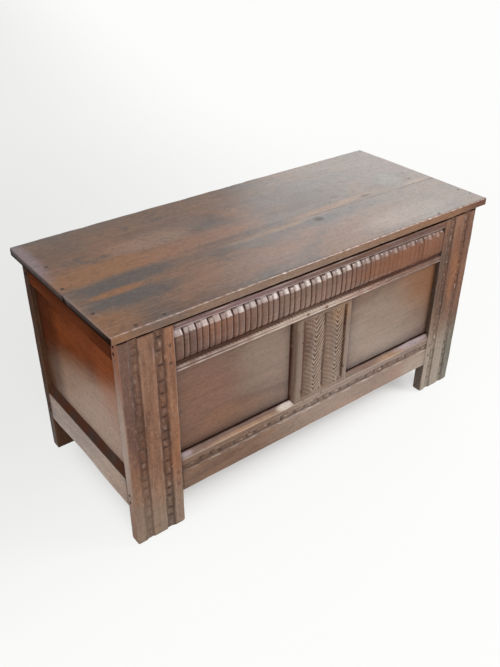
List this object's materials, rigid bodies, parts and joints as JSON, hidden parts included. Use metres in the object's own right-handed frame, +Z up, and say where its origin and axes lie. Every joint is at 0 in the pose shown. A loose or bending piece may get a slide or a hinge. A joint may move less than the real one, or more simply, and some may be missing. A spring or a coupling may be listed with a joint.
{
  "type": "coffer chest",
  "caption": "Joined oak coffer: framed and panelled case on stile feet, carved frieze rail and muntin, boarded floor, and a two-board lid on barrel hinges.",
  "frame": {"origin": "on the floor, under the middle of the whole chest with its lid closed and its hinge barrels counted", "axes": "+X along the front to the viewer's right, +Y from the front to the back, +Z up"},
  "size_m": [1.214, 0.517, 0.6428],
  "materials": {
    "oak_lid": "old waxed oak, grey-brown, worn",
    "oak_front": "old waxed oak, mid brown, carved",
    "oak_panel": "old waxed oak, plain",
    "oak_side": "old waxed oak, red-brown",
    "oak_back": "old dry oak",
    "oak_inside": "dry unfinished oak",
    "oak_peg": "dark end-grain oak",
    "iron": "forged iron, dark, a little rust"
  },
  "bodies": {
    "case": {"back_bottom_rail": "oak_back", "back_frame_pegs": "oak_peg", "back_left_panel": "oak_back", "back_muntin": "oak_back", "back_right_panel": "oak_back", "back_top_rail": "oak_back", "floor_bearer_back": "oak_inside", "floor_bearer_front": "oak_inside", "floor_bearer_nails": "iron", "floor_board_1": "oak_inside", "floor_board_2": "oak_inside", "floor_board_3": "oak_inside", "floor_board_4": "oak_inside", "floor_board_5": "oak_inside", "floor_board_6": "oak_inside", "floor_nails": "iron", "front_bottom_rail": "oak_front", "front_frame_pegs": "oak_peg", "front_left_panel": "oak_panel", "front_left_stile": "oak_front", "front_muntin": "oak_front", "front_right_panel": "oak_panel", "front_right_stile": "oak_front", "front_top_rail": "oak_front", "left_hinge_leaf": "iron", "left_hinge_pin": "iron", "left_leaf_nails": "iron", "left_side_bottom_rail": "oak_side", "left_side_panel": "oak_side", "left_side_pegs": "oak_peg", "left_side_top_rail": "oak_side", "rear_left_stile": "oak_back", "rear_right_stile": "oak_back", "right_hinge_leaf": "iron", "right_hinge_pin": "iron", "right_leaf_nails": "iron", "right_side_bottom_rail": "oak_side", "right_side_panel": "oak_side", "right_side_pegs": "oak_peg", "right_side_top_rail": "oak_side"},
    "lid": {"lid_front_board": "oak_lid", "lid_rear_board": "oak_lid", "lid_left_batten": "oak_inside", "lid_right_batten": "oak_inside", "lid_batten_nails": "iron", "left_hinge_strap": "iron", "right_hinge_strap": "iron", "left_strap_nails": "iron", "right_strap_nails": "iron"}
  },
  "joints": [
    {"name": "lid_hinge", "type": "hinge", "parent": "case", "child": "lid", "pos_m": [0, 0.2525, 0.6138], "axis": [-1, 0, 0], "range_deg": [0, 105]}
  ]
}
